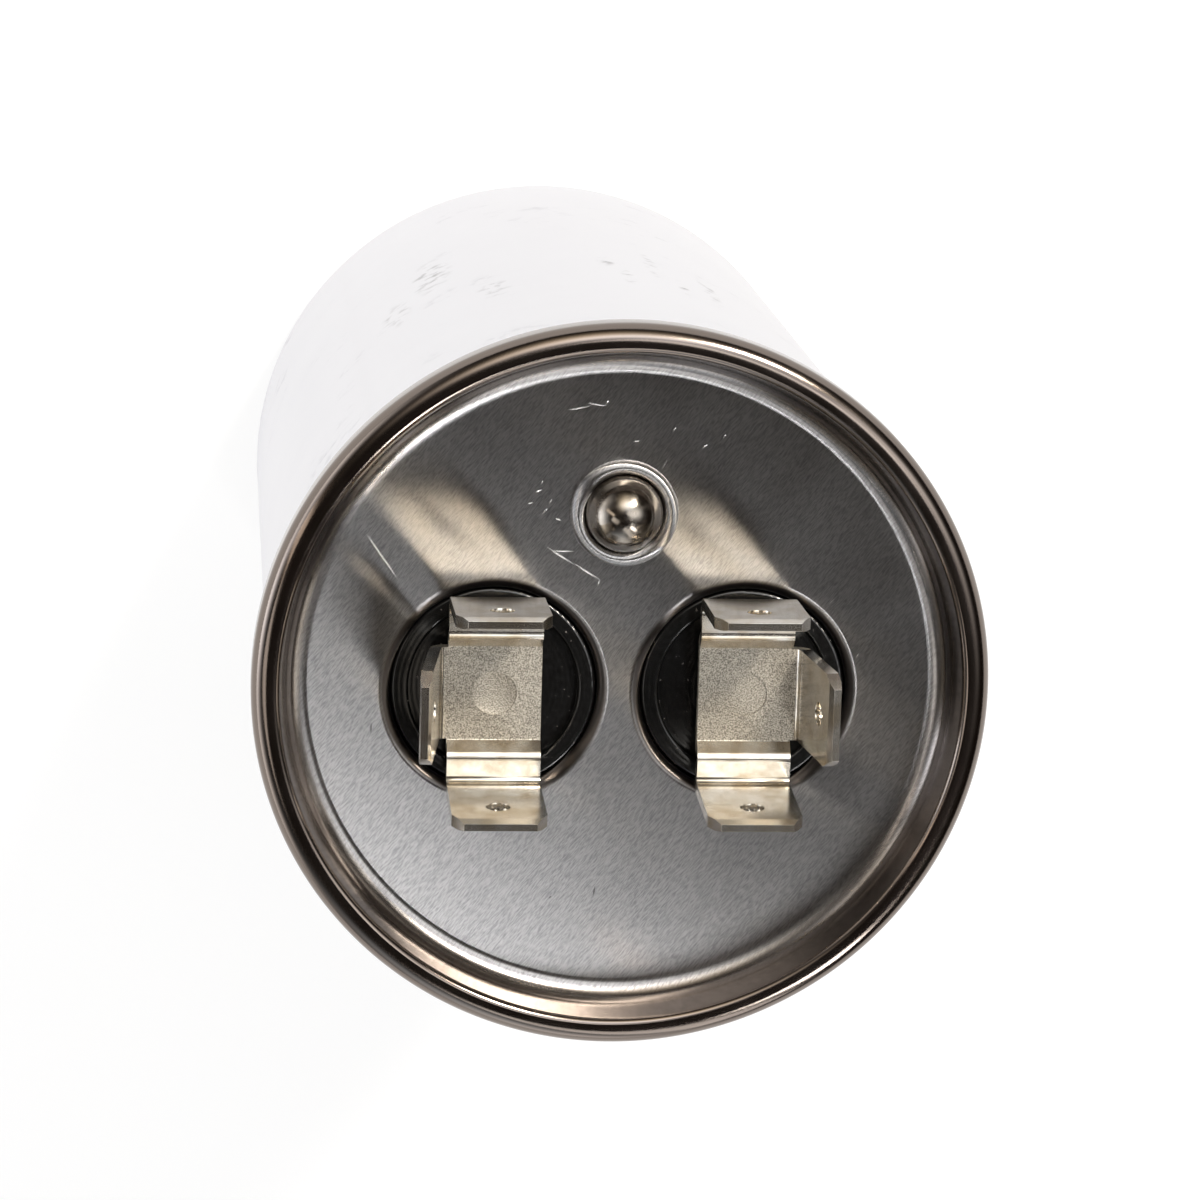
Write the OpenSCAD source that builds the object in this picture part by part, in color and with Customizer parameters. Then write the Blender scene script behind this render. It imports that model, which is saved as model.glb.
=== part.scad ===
// Motor run capacitor in a round drawn can with a seamed steel cover.
// The can stands on its base at z = 0 and its axis is Z. The two terminals lie along X
// and the ball that plugs the filling hole lies towards +Y.

/* [Can] */
// Outside diameter of the can
can_d = 47.5; // [44:0.5:60]
// Height from the base to the top of the rolled seam
can_h = 82; // [70:1:130]
// Wall thickness of the can
can_wall = 0.45; // [0.4:0.05:0.6]
// Thickness of the can's base
can_base = 0.8; // [0.5:0.1:1.5]
// Outside radius where the base turns up into the wall
can_corner = 2; // [1.5:0.25:3]

/* [Rolled seam] */
// Height of the seam, from its lowest edge to its top
seam_h = 3; // [2.8:0.1:4]
// Inside bend radius at the outer shoulder of the seam
shoulder_bend = 0.85; // [0.6:0.05:0.9]
// Inside bend radius at the inner edge of the seam
crest_bend = 0.15; // [0.1:0.05:0.2]
// Gap kept between the end of each hook and the fold that it reaches into
hook_gap = 0.1; // [0.05:0.05:0.2]
// Lean of the can's wall inside the seam, which is rolled against the cover's leaning wall
seam_lean = 4; // [2:0.5:6]
// Height of the slope that brings the can's wall in below the seam
neck_h = 0.4; // [0.3:0.1:1]

/* [Cover] */
// Sheet thickness of the cover
cover_t = 0.35; // [0.3:0.01:0.4]
// Depth of the flat panel below the top of the seam
panel_drop = 3.4; // [2.8:0.1:5]
// Lean of the wall between seam and panel, from upright
wall_lean = 12; // [4:1:20]
// Radius of the hollow where that wall meets the panel
panel_fillet = 1.5; // [0.8:0.1:1.8]

/* [Terminal cups in the cover] */
// Distance between the centres of the two terminals
terminal_pitch = 17; // [16.6:0.1:18.5]
// How far the terminals sit from the can's axis, away from the filling hole
terminal_offset = 0.7; // [0:0.1:1.5]
// Inside diameter of each cup
cup_d = 14; // [13.6:0.1:14.4]
// Depth of a cup's floor below the panel
cup_depth = 2.75; // [2.5:0.05:4]
// Inside bend radius at the mouth of a cup
cup_mouth_bend = 0.45; // [0.3:0.05:0.5]
// Inside bend radius at the floor of a cup
cup_floor_bend = 0.5; // [0.3:0.05:0.7]
// Diameter of the hole in a cup's floor
cup_hole_d = 7; // [6.8:0.1:8]

/* [Filling hole] */
// Diameter of the steel ball that plugs the filling hole
ball_d = 5.3; // [4.8:0.1:6]
// Distance of the filling hole from the can's axis
fill_offset = 11.6; // [11.2:0.1:12.4]
// Inside bend radius of the raised lip round the hole
lip_bend = 0.15; // [0.1:0.05:0.2]
// How far the lip's bend centre lies above the panel
lip_rise = 0.05; // [0:0.05:0.2]
// Depth of the hole's drawn skirt below the panel
skirt_h = 0.9; // [0.6:0.1:1.5]

/* [Terminals] */
// Width of the blades and of the strip that they are cut from
blade_w = 6.35; // [6.3:0.01:6.4]
// Thickness of the terminal strip
blade_t = 0.8; // [0.78:0.01:0.82]
// Length of a blade above its bend
blade_len = 8; // [7:0.1:9]
// Width lost to each slope at a blade's tip
tip_side = 0.75; // [0.5:0.05:1]
// Length of the slope at each side of a blade's tip
tip_run = 1.5; // [1:0.1:2]
// Thickness lost at each face of a blade's tip
tip_face = 0.15; // [0.1:0.01:0.2]
// Length of the slope on each face of a blade's tip
tip_face_run = 0.7; // [0.5:0.1:1]
// Diameter of the detent hole in a blade
detent_d = 1.65; // [1.5:0.05:2]
// Distance of the detent hole from a blade's tip
detent_from_tip = 3.15; // [2.8:0.05:3.6]
// Inside radius of each bend in the strip
strip_bend = 0.4; // [0.2:0.05:0.6]
// Length of the flat centre of a terminal
plate_len = 6.45; // [6.4:0.05:6.8]
// Height by which the two end arms step up from the centre
arm_step = 0.9; // [0.5:0.1:1.2]
// Length of the shelf after the step
shelf_len = 1.5; // [1.2:0.05:1.9]
// Fall of that shelf towards the blade
shelf_fall = 8; // [0:0.5:10]
// Length of the level stretch before the side blade's bend
side_shelf = 0.1; // [0.05:0.05:0.5]
// Outward lean of the end blades
end_lean = 2.6; // [0:0.1:6]
// Outward lean of the side blade
side_lean = 7.4; // [0:0.1:10]
// Height of the strip's underside above the cover panel
plate_lift = 0.1; // [0:0.05:0.5]
// Diameter of the weld mark pressed into a terminal's centre
weld_d = 3; // [2:0.1:4]
// Depth of the weld mark
weld_depth = 0.12; // [0.05:0.01:0.2]

/* [Studs] */
// Diameter of a stud's shank
stud_d = 3.2; // [2.8:0.1:3.6]
// Diameter of a stud's head under the terminal
stud_head_d = 5.8; // [5:0.1:6.2]
// Thickness of a stud's head
stud_head_t = 0.7; // [0.5:0.05:0.8]
// Diameter of the upset end inside the can
stud_tail_d = 4.8; // [4.2:0.1:5.4]
// Thickness of the upset end
stud_tail_t = 0.7; // [0.5:0.05:1]
// Clearance all round a stud's shank
stud_fit = 0.05; // [0.02:0.01:0.1]

/* [Terminal insulators] */
// Clearance between a bushing and its cup
bushing_fit = 0.05; // [0.02:0.01:0.15]
// Thickness of the rubber gasket under a bushing
gasket_t = 0.8; // [0.5:0.05:1]
// Depth of a bushing's outer ring below the panel
ring_drop = 0.55; // [0.3:0.05:0.8]
// Width of a bushing's outer ring
ring_w = 1.2; // [0.8:0.05:1.5]
// Depth of the dish inside that ring, below the panel
dish_drop = 1.3; // [0.9:0.05:1.5]
// Diameter of the boss that carries the stud's head
boss_d = 7; // [6.4:0.1:8]
// Radius on the upper edges of the bushing's ring
ring_round = 0.25; // [0.1:0.05:0.3]
// Outside diameter of the bushing's sleeve through the cup's floor
sleeve_d = 6.6; // [5.6:0.1:6.7]
// How far the sleeve reaches below the cup's floor
sleeve_reach = 0.4; // [0.2:0.05:0.6]
// Clearance between the sleeve and the parts that it passes through
sleeve_fit = 0.1; // [0.05:0.01:0.15]
// Outside diameter of the inner washer
washer_d = 12; // [10:0.1:14]
// Thickness of the inner washer
washer_t = 1.5; // [1.2:0.1:2]

/* [Winding] */
// Gap between the wrapped winding and the can's wall
side_gap = 1.75; // [1.3:0.05:3]
// Clear height between the barrier disc and the studs above it
head_gap = 3.2; // [2.4:0.1:6]
// Outside diameter of the plastic core
core_d = 9; // [8:0.1:12]
// Wall of the plastic core
core_wall = 1; // [0.6:0.05:1.4]
// Thickness of the sprayed metal on each end
spray_t = 0.6; // [0.4:0.05:1]
// Thickness of the insulating wrap
wrap_t = 0.6; // [0.3:0.05:0.7]

/* [Insulating cup and barrier] */
// Floor thickness of the insulating cup under the winding
pad_floor = 1.2; // [0.8:0.1:1.5]
// Height of the ring on that floor that carries the winding
pad_ring_h = 1.2; // [1.2:0.1:2]
// Radial width of that ring
pad_ring_w = 5; // [3:0.5:7]
// Height of the insulating cup's wall
pad_wall_h = 9; // [6:0.5:14]
// Thickness of the insulating cup's wall
pad_wall = 0.8; // [0.5:0.05:0.9]
// Clearance between the winding and the parts round it
winding_fit = 0.1; // [0.05:0.01:0.2]
// Thickness of the barrier disc above the winding
barrier_t = 1.5; // [1:0.1:2]
// Height of the skirt that the barrier stands on
barrier_skirt_h = 4; // [3:0.1:4.5]
// Thickness of the barrier's skirt
barrier_wall = 1.2; // [0.8:0.1:1.6]
// Clearance between the barrier and the can
barrier_fit = 0.3; // [0.2:0.05:0.3]
// Diameter of each hole that a lead passes through
lead_hole_d = 3.8; // [3.6:0.1:4.1]

/* [Leads] */
// Width of the lead strip
lead_w = 3; // [2.5:0.1:3.2]
// Thickness of the lead strip
lead_t = 0.3; // [0.2:0.05:0.4]
// Width of the neck that tears when the cover bulges
neck_w = 1.4; // [1:0.1:2]
// Length of that neck
neck_len = 1.2; // [0.8:0.1:1.5]
// Diameter of the eye round the stud
eye_d = 5.4; // [4.8:0.1:6]
// Length of the lead's foot on the sprayed metal
foot_len = 6; // [5:0.5:8]
// Diameter of a solder joint
solder_d = 3.8; // [3.6:0.1:4.4]
// Height of a solder joint above the strip that it holds
solder_h = 0.7; // [0.5:0.05:0.8]

/* [Hidden] */
$fn = 96;
through = 1;                     // overshoot of every cutting tool

// Radii of the layers of the seam, from the can's wall outwards
can_r = can_d / 2;
can_in_r = can_r - can_wall;
flange_in_r = can_r + cover_t;
flange_out_r = flange_in_r + can_wall;
seam_r = flange_out_r + cover_t;
shoulder_r = shoulder_bend + cover_t;
crest_r = crest_bend + cover_t;

// Centres of the bends of the seam, as radius and height
shoulder_c = [seam_r - shoulder_r, can_h - shoulder_r];
crest_c = [can_in_r - cover_t + crest_r, can_h - crest_r];
flange_c = [(can_r + flange_in_r) / 2, shoulder_c.y - hook_gap];
seam_low_z = can_h - seam_h;
hook_c = [(flange_in_r + flange_out_r) / 2, seam_low_z + can_wall / 2 + cover_t];

// The waist that the seaming rolls leave in the can's wall
neck_z = seam_low_z - neck_h;
neck_in = (flange_c.y - seam_low_z) * tan(seam_lean);

// The leaning wall between the crest and the panel
panel_z = can_h - panel_drop;
wall_n = [-cos(wall_lean), sin(wall_lean)];
wall_top = crest_c + crest_r * wall_n;
wall_low_z = panel_z + panel_fillet * (1 - sin(wall_lean));
wall_len = (wall_top.y - wall_low_z) / cos(wall_lean);
wall_low = wall_top - wall_len * [sin(wall_lean), cos(wall_lean)];
fillet_c = wall_low + panel_fillet * wall_n;

// Cups and filling hole
left_x = -terminal_pitch / 2;
right_x = terminal_pitch / 2;
terminal_y = -terminal_offset;
cup_r = cup_d / 2;
cup_mouth_r = cup_r + cup_mouth_bend + cover_t;
cup_floor_z = panel_z - cup_depth;
lip_r = lip_bend + cover_t;
lip_c = [ball_d / 2 + lip_r, panel_z + lip_rise];
lip_end = -60;                   // angle at which the lip's fold ends in the panel

// Heights of the stack in a cup, from the terminal down
strip_z = panel_z + plate_lift;
boss_z = strip_z - stud_head_t;
gasket_z = cup_floor_z;
bushing_z = gasket_z + gasket_t;
sleeve_z = cup_floor_z - cover_t - sleeve_reach;
washer_z = cup_floor_z - cover_t - washer_t;
eye_z = washer_z - lead_t;
tail_z = eye_z - stud_tail_t;
stud_hole_r = stud_d / 2 + stud_fit;

// Heights of the winding and what holds it
wound_r = can_in_r - side_gap;
winding_r = wound_r - wrap_t;
core_in_r = core_d / 2 - core_wall;
wound_z = can_base + pad_floor + pad_ring_h;
winding_z = wound_z + spray_t;
barrier_z = tail_z - head_gap - barrier_t;
foot_z = barrier_z - barrier_skirt_h;
winding_top = foot_z - spray_t;
lead_turn = eye_d / 2 + neck_len;
drop_x = left_x + lead_turn + lead_t;

// A ring sector in section: the fold of a sheet round the point c
module fold(c, r_in, r_out, a1, a2) {
    far = 3 * r_out;             // keeps the chords of the polygon outside the circle
    mid = (a1 + a2) / 2;
    translate(c) intersection() {
        difference() {
            circle(r = r_out);
            circle(r = r_in);
        }
        polygon([[0, 0], far * [cos(a1), sin(a1)], far * [cos(mid), sin(mid)],
                 far * [cos(a2), sin(a2)]]);
    }
}

// A block in section between two radii and two heights
module block(r1, r2, z1, z2) {
    translate([r1, z1]) square([r2 - r1, z2 - z1]);
}

// The section of a filled cup with a rounded foot
module cup_block(r, z1, z2, round_r) {
    block(0, r, z1 + round_r, z2);
    block(0, r - round_r, z1, z1 + round_r);
    translate([r - round_r, z1 + round_r]) circle(r = round_r);
}

module can() {
    color("gainsboro") rotate_extrude() {
        difference() {
            cup_block(can_r, 0, neck_z, can_corner);
            cup_block(can_in_r, can_base, can_h, can_corner - can_wall);
        }
        polygon([[can_in_r, neck_z], [can_r, neck_z], [can_r - neck_in, seam_low_z],
                 [can_r, flange_c.y], [can_in_r, flange_c.y], [can_in_r - neck_in, seam_low_z]]);
        fold(flange_c, cover_t / 2, cover_t / 2 + can_wall, 0, 180);
        block(flange_in_r, flange_out_r, hook_c.y + hook_gap, flange_c.y);
    }
}

module cover_sheet() {
    rotate_extrude() {
        block(0, fillet_c.x, panel_z - cover_t, panel_z);
        fold(fillet_c, panel_fillet, panel_fillet + cover_t, -90, -wall_lean);
        polygon([wall_top, wall_low, wall_low - cover_t * wall_n, wall_top - cover_t * wall_n]);
        fold(crest_c, crest_bend, crest_r, 90, 180 - wall_lean);
        block(crest_c.x, shoulder_c.x, can_h - cover_t, can_h);
        fold(shoulder_c, shoulder_bend, shoulder_r, 0, 90);
        block(flange_out_r, seam_r, hook_c.y, shoulder_c.y);
        fold(hook_c, can_wall / 2, can_wall / 2 + cover_t, 180, 360);
        block(can_r, flange_in_r, hook_c.y, flange_c.y - hook_gap);
    }
}

module cover_cup() {
    mouth_z = panel_z - cup_mouth_bend - cover_t;
    rotate_extrude() {
        fold([cup_mouth_r, mouth_z], cup_mouth_bend, cup_mouth_bend + cover_t, 90, 180);
        block(cup_r, cup_r + cover_t, cup_floor_z + cup_floor_bend, mouth_z);
        fold([cup_r - cup_floor_bend, cup_floor_z + cup_floor_bend], cup_floor_bend,
             cup_floor_bend + cover_t, -90, 0);
        block(cup_hole_d / 2, cup_r - cup_floor_bend, cup_floor_z - cover_t, cup_floor_z);
    }
}

module fill_lip() {
    rotate_extrude() {
        fold(lip_c, lip_bend, lip_r, lip_end, 180);
        block(ball_d / 2, ball_d / 2 + cover_t, panel_z - skirt_h, lip_c.y);
    }
}

module cover() {
    color("silver") {
        difference() {
            cover_sheet();
            for (x = [left_x, right_x])
                translate([x, terminal_y, panel_z - through - cover_t])
                    cylinder(r = cup_mouth_r, h = cover_t + 2 * through);
            translate([0, fill_offset, panel_z - through - cover_t])
                cylinder(r = lip_c.x + lip_r / 2, h = cover_t + 2 * through);
        }
        for (x = [left_x, right_x])
            translate([x, terminal_y, 0]) cover_cup();
        translate([0, fill_offset, 0]) fill_lip();
    }
}

module seam_compound() {
    low_z = flange_c.y + (cover_t + can_wall) / 2;
    top_z = can_h - cover_t;
    inner = wall_top - cover_t * wall_n;
    color("darkred") rotate_extrude() difference() {
        polygon([[inner.x - (inner.y - low_z) * tan(wall_lean), low_z], inner, crest_c,
                 [crest_c.x, top_z], [flange_out_r, top_z], [flange_out_r, low_z]]);
        difference() {
            block(shoulder_c.x, seam_r, shoulder_c.y, can_h);
            translate(shoulder_c) circle(r = shoulder_bend);
        }
        translate(flange_c) circle(r = cover_t / 2 + can_wall);
    }
}

module fill_ball() {
    color("lightgray") translate([0, fill_offset, lip_c.y]) sphere(r = ball_d / 2);
}

// Outline of a blade seen on its flat side, from its bend up to its tip
module blade_outline() {
    half = blade_w / 2;
    difference() {
        polygon([[-half, 0], [half, 0], [half, blade_len - tip_run],
                 [half - tip_side, blade_len], [tip_side - half, blade_len],
                 [-half, blade_len - tip_run]]);
        translate([0, blade_len - detent_from_tip]) circle(d = detent_d, $fn = 48);
    }
}

// One blade, with its inner face at x = 0 and its bend at z = 0
module blade() {
    face_z = blade_len - tip_face_run;
    intersection() {
        rotate([90, 0, 90]) linear_extrude(height = blade_t) blade_outline();
        rotate([90, 0, 0]) linear_extrude(height = blade_w + 2 * through, center = true)
            polygon([[0, 0], [blade_t, 0], [blade_t, face_z], [blade_t - tip_face, blade_len],
                     [tip_face, blade_len], [0, face_z]]);
    }
}

// An arm of the terminal: a step of height rise, a shelf that falls outwards, a bend and
// a blade. It starts at x = start and its strip stands on z = 0.
module arm(start, rise, shelf, fall, lean) {
    slope = rise > 0 ? 45 : 0;
    miter = blade_t * tan(slope / 2);    // keeps the slope as thick as the rest
    lap = blade_t / 4;                   // how far the slope runs on inside the shelf
    rotate([90, 0, 0]) linear_extrude(height = blade_w, center = true)
        polygon([[0, 0], [start + miter, 0], [start + miter + rise + lap, rise + lap],
                 [start + rise, rise + blade_t], [start, blade_t], [0, blade_t]]);
    translate([start + rise, 0, rise + blade_t]) rotate([0, fall, 0]) {
        rotate([90, 0, 0]) linear_extrude(height = blade_w, center = true) {
            block(0, shelf, -blade_t, 0);
            fold([shelf, strip_bend], strip_bend, strip_bend + blade_t, -90, fall - lean);
        }
        translate([shelf, 0, strip_bend]) rotate([0, lean - fall, 0])
            translate([strip_bend, 0, 0]) blade();
    }
}

// A terminal with its side blade towards +X
module terminal() {
    difference() {
        union() {
            for (turn = [90, 270])
                rotate([0, 0, turn]) arm(plate_len / 2, arm_step, shelf_len, shelf_fall, end_lean);
            arm(blade_w / 2, 0, side_shelf, 0, side_lean);
        }
        translate([0, 0, blade_t - weld_depth]) cylinder(d = weld_d, h = through);
    }
}

module left_terminal() {
    color("wheat") translate([left_x, terminal_y, strip_z]) mirror([1, 0, 0]) terminal();
}

module right_terminal() {
    color("wheat") translate([right_x, terminal_y, strip_z]) terminal();
}

module stud() {
    rotate_extrude() {
        block(0, stud_head_d / 2, boss_z, strip_z);
        block(0, stud_d / 2, eye_z, boss_z);
        block(0, stud_tail_d / 2, tail_z, eye_z);
    }
}

module left_stud() {
    color("darkgray") translate([left_x, terminal_y, 0]) stud();
}

module right_stud() {
    color("darkgray") translate([right_x, terminal_y, 0]) stud();
}

// Moulded bushing: an outer ring, a dish, a boss under the stud's head and a sleeve
module bushing() {
    out_r = cup_r - bushing_fit;
    ring_z = panel_z - ring_drop;
    rotate_extrude() {
        block(stud_hole_r, boss_d / 2, bushing_z, boss_z);
        block(boss_d / 2, out_r - ring_w, bushing_z, panel_z - dish_drop);
        block(out_r - ring_w, out_r, bushing_z, ring_z - ring_round);
        block(out_r - ring_w + ring_round, out_r - ring_round, ring_z - ring_round, ring_z);
        for (r = [out_r - ring_w + ring_round, out_r - ring_round])
            translate([r, ring_z - ring_round]) circle(r = ring_round);
        block(stud_hole_r, sleeve_d / 2, sleeve_z, bushing_z);
    }
}

module left_bushing() {
    color([0.08, 0.08, 0.08]) translate([left_x, terminal_y, 0]) bushing();
}

module right_bushing() {
    color([0.08, 0.08, 0.08]) translate([right_x, terminal_y, 0]) bushing();
}

module gasket() {
    rotate_extrude()
        block(sleeve_d / 2 + sleeve_fit, cup_r - cup_floor_bend, gasket_z, bushing_z);
}

module left_gasket() {
    color([0.2, 0.2, 0.2]) translate([left_x, terminal_y, 0]) gasket();
}

module right_gasket() {
    color([0.2, 0.2, 0.2]) translate([right_x, terminal_y, 0]) gasket();
}

module inner_washer() {
    rotate_extrude() difference() {
        block(stud_hole_r, washer_d / 2, washer_z, washer_z + washer_t);
        block(0, sleeve_d / 2 + sleeve_fit, sleeve_z, washer_z + washer_t + through);
    }
}

module left_inner_washer() {
    color("peru") translate([left_x, terminal_y, 0]) inner_washer();
}

module right_inner_washer() {
    color("peru") translate([right_x, terminal_y, 0]) inner_washer();
}

// A lead strip's eye and the narrow neck that leads off it towards +X
module lead_eye() {
    difference() {
        union() {
            cylinder(d = eye_d, h = lead_t);
            translate([0, -neck_w / 2, 0]) cube([eye_d / 2 + neck_len, neck_w, lead_t]);
        }
        translate([0, 0, -through]) cylinder(r = stud_hole_r, h = lead_t + 2 * through);
    }
}

// Upright stretch of lead strip, with its outer face at x
module lead_drop(x, z1, z2) {
    translate([x - lead_t, -lead_w / 2, z1]) cube([lead_t, lead_w, z2 - z1]);
}

// Level stretch of lead strip, standing on z
module lead_run(x1, x2, z) {
    translate([x1, -lead_w / 2, z]) cube([x2 - x1, lead_w, lead_t]);
}

module upper_lead() {
    color("goldenrod") translate([0, terminal_y, 0]) {
        translate([left_x, 0, eye_z]) lead_eye();
        lead_run(left_x + lead_turn, drop_x, eye_z);
        lead_drop(drop_x, foot_z, eye_z + lead_t);
        upper_foot();
    }
}

module upper_foot() {
    lead_run(drop_x - foot_len, drop_x, foot_z);
}

module lower_lead() {
    color("goldenrod") translate([0, terminal_y, 0]) {
        translate([right_x, 0, eye_z]) mirror([1, 0, 0]) lead_eye();
        lead_run(-lead_t / 2, right_x - lead_turn, eye_z);
        lead_drop(lead_t / 2, wound_z - lead_t, eye_z + lead_t);
        lower_foot();
    }
}

module lower_foot() {
    lead_run(-lead_t / 2, core_in_r + foot_len, wound_z - lead_t);
}

// A solder joint standing on z = 0, before the strip that it holds is taken out of it
module solder() {
    h = solder_h + lead_t;
    cap_r = (solder_d * solder_d / 4 + h * h) / (2 * h);
    rotate_extrude() intersection() {
        translate([0, h - cap_r]) circle(r = cap_r);
        block(0, solder_d, 0, h + through);
    }
}

module upper_solder() {
    color("lightslategray") translate([0, terminal_y, 0]) difference() {
        translate([drop_x - foot_len / 2, 0, foot_z]) solder();
        upper_foot();
    }
}

module lower_solder() {
    color("lightslategray") translate([0, terminal_y, 0]) difference() {
        translate([(core_d / 2 + core_in_r + foot_len) / 2, 0, wound_z])
            rotate([180, 0, 0]) solder();
        lower_foot();
    }
}

module barrier_disc() {
    out_r = can_in_r - barrier_fit;
    color("burlywood") difference() {
        rotate_extrude() {
            block(0, out_r, barrier_z, barrier_z + barrier_t);
            block(wound_r - barrier_wall, out_r, foot_z, barrier_z);
        }
        for (x = [drop_x - lead_t / 2, 0])
            translate([x, terminal_y, barrier_z - through])
                cylinder(d = lead_hole_d, h = barrier_t + 2 * through);
    }
}

module winding() {
    color("ivory") rotate_extrude() block(core_d / 2, winding_r, winding_z, winding_top);
}

module winding_core() {
    color("white") rotate_extrude() block(core_in_r, core_d / 2, wound_z, foot_z);
}

module winding_wrap() {
    color("lightyellow") rotate_extrude() block(winding_r, wound_r, wound_z, foot_z);
}

module top_end_spray() {
    color("slategray") rotate_extrude() block(core_d / 2, winding_r, winding_top, foot_z);
}

module bottom_end_spray() {
    color("slategray") rotate_extrude() block(core_d / 2, winding_r, wound_z, winding_z);
}

module insulating_cup() {
    in_r = wound_r + winding_fit;
    floor_z = can_base + pad_floor;
    color("whitesmoke") rotate_extrude() {
        difference() {
            cup_block(in_r + pad_wall, can_base, can_base + pad_wall_h, can_corner - can_wall);
            block(0, in_r, floor_z, can_base + pad_wall_h + through);
        }
        block(in_r - pad_ring_w, in_r, floor_z, floor_z + pad_ring_h);
    }
}

can();
cover();
seam_compound();
fill_ball();
left_terminal();
right_terminal();
left_stud();
right_stud();
left_bushing();
right_bushing();
left_gasket();
right_gasket();
left_inner_washer();
right_inner_washer();
upper_lead();
lower_lead();
upper_solder();
lower_solder();
barrier_disc();
winding();
winding_core();
winding_wrap();
top_end_spray();
bottom_end_spray();
insulating_cup();
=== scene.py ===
import math
import bpy
import bmesh
from mathutils import Euler, Matrix, Vector


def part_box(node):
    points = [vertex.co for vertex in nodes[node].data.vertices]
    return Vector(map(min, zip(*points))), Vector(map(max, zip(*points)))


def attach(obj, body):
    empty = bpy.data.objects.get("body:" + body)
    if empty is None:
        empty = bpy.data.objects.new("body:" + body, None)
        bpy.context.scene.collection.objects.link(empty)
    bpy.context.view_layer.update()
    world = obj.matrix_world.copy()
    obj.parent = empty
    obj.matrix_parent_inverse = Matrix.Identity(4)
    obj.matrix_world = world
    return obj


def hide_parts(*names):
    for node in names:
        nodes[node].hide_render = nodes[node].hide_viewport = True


# Motor run capacitor, seen from over the terminals. Everything is in metres.
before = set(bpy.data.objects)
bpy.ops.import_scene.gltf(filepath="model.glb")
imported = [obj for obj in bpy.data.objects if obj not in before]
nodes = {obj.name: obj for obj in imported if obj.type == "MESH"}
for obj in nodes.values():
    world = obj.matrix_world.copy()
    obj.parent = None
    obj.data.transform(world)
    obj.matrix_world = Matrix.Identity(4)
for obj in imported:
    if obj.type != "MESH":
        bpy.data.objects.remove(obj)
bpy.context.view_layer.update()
mm = 0.001
print("frame loaded:", len(nodes), "nodes")


def hexColour(code):
    # sRGB hex to the linear colour that a shader socket holds
    parts = [int(code[i:i + 2], 16) / 255 for i in (0, 2, 4)]
    return tuple(p / 12.92 if p <= 0.04045 else ((p + 0.055) / 1.055) ** 2.4 for p in parts) + (1.0,)


def addNode(tree, kind, settings=None, links=None):
    # settings are properties or unlinked sockets, links are socket: output pairs
    node = tree.nodes.new(kind)
    for key, value in (settings or {}).items():
        if isinstance(key, int) or key in node.inputs:
            node.inputs[key].default_value = value
        else:
            setattr(node, key, value)
    for key, output in (links or {}).items():
        tree.links.new(output, node.inputs[key])
    return node


def newMaterial(name):
    material = bpy.data.materials.new(name)
    material.use_nodes = True
    tree = material.node_tree
    tree.nodes.clear()
    place = addNode(tree, "ShaderNodeTexCoord").outputs["Object"]
    return material, tree, place


def closeMaterial(tree, shader):
    addNode(tree, "ShaderNodeOutputMaterial", links={"Surface": shader.outputs[0]})


def setRamp(ramp, stops):
    # stops are (position, linear colour) pairs
    band = ramp.color_ramp
    while len(band.elements) < len(stops):
        band.elements.new(1.0)
    for element, (position, colour) in zip(band.elements, stops):
        element.position = position
        element.color = colour


def dress(nodeNames, material):
    for name in nodeNames:
        item = nodes[name]
        item.data.materials.clear()
        item.data.materials.append(material)


def markMask(tree, place, marks):
    # one value that is 1 on each mark: ellipsoids with a middle, a turn about +Z and widths in mm
    total = None
    for middle, turn, widths in marks:
        moved = addNode(tree, "ShaderNodeMapping",
                        {"vector_type": "TEXTURE", "Location": Vector(middle) * mm,
                         "Rotation": (0, 0, math.radians(turn)), "Scale": Vector(widths) * mm / 2},
                        {"Vector": place})
        spot = addNode(tree, "ShaderNodeTexGradient", {"gradient_type": "SPHERICAL"},
                       {"Vector": moved.outputs[0]})
        total = spot.outputs["Fac"] if total is None else addNode(
            tree, "ShaderNodeMath", {"operation": "MAXIMUM"},
            {0: total, 1: spot.outputs["Fac"]}).outputs[0]
    return total


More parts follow.
